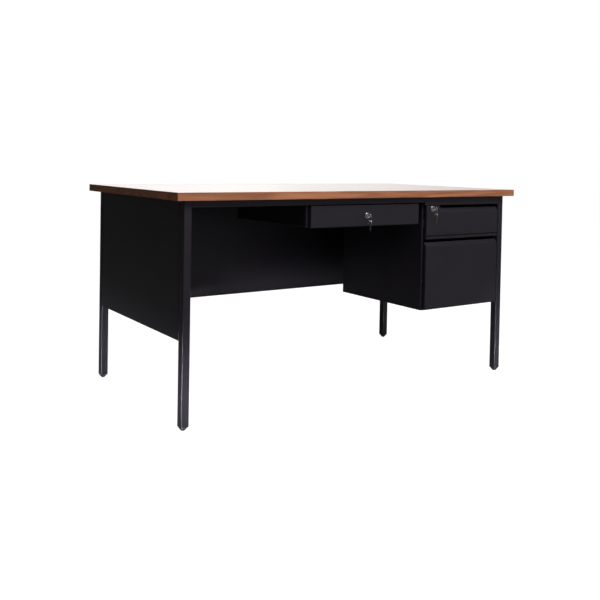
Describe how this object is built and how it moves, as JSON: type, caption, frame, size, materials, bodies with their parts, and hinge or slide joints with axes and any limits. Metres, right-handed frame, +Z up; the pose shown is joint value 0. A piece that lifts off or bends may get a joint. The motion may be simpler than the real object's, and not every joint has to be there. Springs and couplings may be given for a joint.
{
  "type": "teacher desk",
  "caption": "Single-pedestal office desk: walnut laminate top, black square-tube legs and sheet-steel panels, locking centre drawer, box drawer and file drawer.",
  "frame": {"origin": "on the floor under the middle of the desktop", "axes": "+X to the user's right along the desktop, +Y away from the user to the back panel, +Z up"},
  "size_m": [1.524, 0.762, 0.743],
  "materials": {
    "walnut_laminate": "satin walnut-print laminate with a bright sheen at low angles",
    "walnut_edge_band": "matt walnut-print edge band",
    "particle_board": "raw pressed board",
    "black_powder_coat": "fine-grained satin black powder coat on sheet steel",
    "black_nylon": "moulded satin",
    "zinc_plated_steel": "zinc-plated roll-formed steel",
    "nickel_plated_steel": "polished nickel plate"
  },
  "bodies": {
    "desk": {"desktop_core": "particle_board", "desktop_laminate": "walnut_laminate", "desktop_edge_band": "walnut_edge_band", "leg_front_left": "black_powder_coat", "leg_front_right": "black_powder_coat", "leg_rear_left": "black_powder_coat", "leg_rear_right": "black_powder_coat", "glide_front_left": "black_nylon", "glide_front_right": "black_nylon", "glide_rear_left": "black_nylon", "glide_rear_right": "black_nylon", "end_panel_left": "black_powder_coat", "end_panel_right": "black_powder_coat", "modesty_panel": "black_powder_coat", "front_rail": "black_powder_coat", "pedestal_rail": "black_powder_coat", "pedestal_side_left": "black_powder_coat", "pedestal_side_right": "black_powder_coat", "pedestal_back": "black_powder_coat", "pedestal_bottom": "black_powder_coat", "drawer_hanger_left": "black_powder_coat", "drawer_hanger_right": "black_powder_coat", "centre_track_left": "zinc_plated_steel", "centre_track_right": "zinc_plated_steel", "box_track_left": "zinc_plated_steel", "box_track_right": "zinc_plated_steel", "file_track_left": "zinc_plated_steel", "file_track_right": "zinc_plated_steel"},
    "centre_drawer": {"centre_drawer_front": "black_powder_coat", "centre_drawer_liner": "black_powder_coat", "centre_drawer_pan": "black_powder_coat", "centre_drawer_back": "black_powder_coat", "centre_runner_left": "zinc_plated_steel", "centre_runner_right": "zinc_plated_steel", "centre_lock_housing": "nickel_plated_steel"},
    "centre_lock_turn": {"centre_lock_plug": "nickel_plated_steel", "centre_lock_cam": "zinc_plated_steel", "centre_key": "nickel_plated_steel"},
    "centre_ring_swing": {"centre_key_ring": "nickel_plated_steel"},
    "centre_spare_swing": {"centre_spare_key": "nickel_plated_steel"},
    "box_drawer": {"box_drawer_front": "black_powder_coat", "box_drawer_liner": "black_powder_coat", "box_drawer_pan": "black_powder_coat", "box_drawer_back": "black_powder_coat", "box_runner_left": "zinc_plated_steel", "box_runner_right": "zinc_plated_steel", "pedestal_lock_housing": "nickel_plated_steel"},
    "pedestal_lock_turn": {"pedestal_lock_plug": "nickel_plated_steel", "pedestal_lock_cam": "zinc_plated_steel", "pedestal_key": "nickel_plated_steel"},
    "pedestal_ring_swing": {"pedestal_key_ring": "nickel_plated_steel"},
    "pedestal_spare_swing": {"pedestal_spare_key": "nickel_plated_steel"},
    "file_middle_slides": {"file_middle_slide_left": "zinc_plated_steel", "file_middle_slide_right": "zinc_plated_steel"},
    "file_drawer": {"file_drawer_front": "black_powder_coat", "file_drawer_liner": "black_powder_coat", "file_drawer_pan": "black_powder_coat", "file_drawer_back": "black_powder_coat", "file_runner_left": "zinc_plated_steel", "file_runner_right": "zinc_plated_steel"}
  },
  "joints": [
    {"name": "centre_drawer_slide", "type": "slide", "parent": "desk", "child": "centre_drawer", "axis": [0, -1, 0], "range_m": [0, 0.36]},
    {"name": "box_drawer_slide", "type": "slide", "parent": "desk", "child": "box_drawer", "axis": [0, -1, 0], "range_m": [0, 0.36]},
    {"name": "file_middle_slide", "type": "slide", "parent": "desk", "child": "file_middle_slides", "axis": [0, -1, 0], "range_m": [0, 0.215]},
    {"name": "file_drawer_slide", "type": "slide", "parent": "desk", "child": "file_drawer", "axis": [0, -1, 0], "range_m": [0, 0.43]},
    {"name": "centre_lock_turn", "type": "hinge", "parent": "centre_drawer", "child": "centre_lock_turn", "pos_m": [0.006, -0.355, 0.654], "axis": [0, 1, 0], "range_deg": [0, 90]},
    {"name": "centre_ring_swing", "type": "hinge", "parent": "centre_lock_turn", "child": "centre_ring_swing", "pos_m": [0.0055, -0.3719, 0.6495], "axis": [0, 1, 0], "range_deg": [-90, 0]},
    {"name": "centre_spare_swing", "type": "hinge", "parent": "centre_ring_swing", "child": "centre_spare_swing", "pos_m": [0.006, -0.3719, 0.63655], "axis": [-1, 0, 0], "range_deg": [0, 50]},
    {"name": "pedestal_lock_turn", "type": "hinge", "parent": "box_drawer", "child": "pedestal_lock_turn", "pos_m": [0.331, -0.355, 0.6715], "axis": [0, 1, 0], "range_deg": [0, 90]},
    {"name": "pedestal_ring_swing", "type": "hinge", "parent": "pedestal_lock_turn", "child": "pedestal_ring_swing", "pos_m": [0.3305, -0.3719, 0.667], "axis": [0, 1, 0], "range_deg": [-90, 0]},
    {"name": "pedestal_spare_swing", "type": "hinge", "parent": "pedestal_ring_swing", "child": "pedestal_spare_swing", "pos_m": [0.331, -0.3719, 0.65405], "axis": [-1, 0, 0], "range_deg": [0, 50]}
  ],
  "couplings": [
    {"joint": "file_middle_slide", "follows": "file_drawer_slide", "ratio": 0.5},
    {"joint": "centre_ring_swing", "follows": "centre_lock_turn", "ratio": -1},
    {"joint": "pedestal_ring_swing", "follows": "pedestal_lock_turn", "ratio": -1}
  ]
}
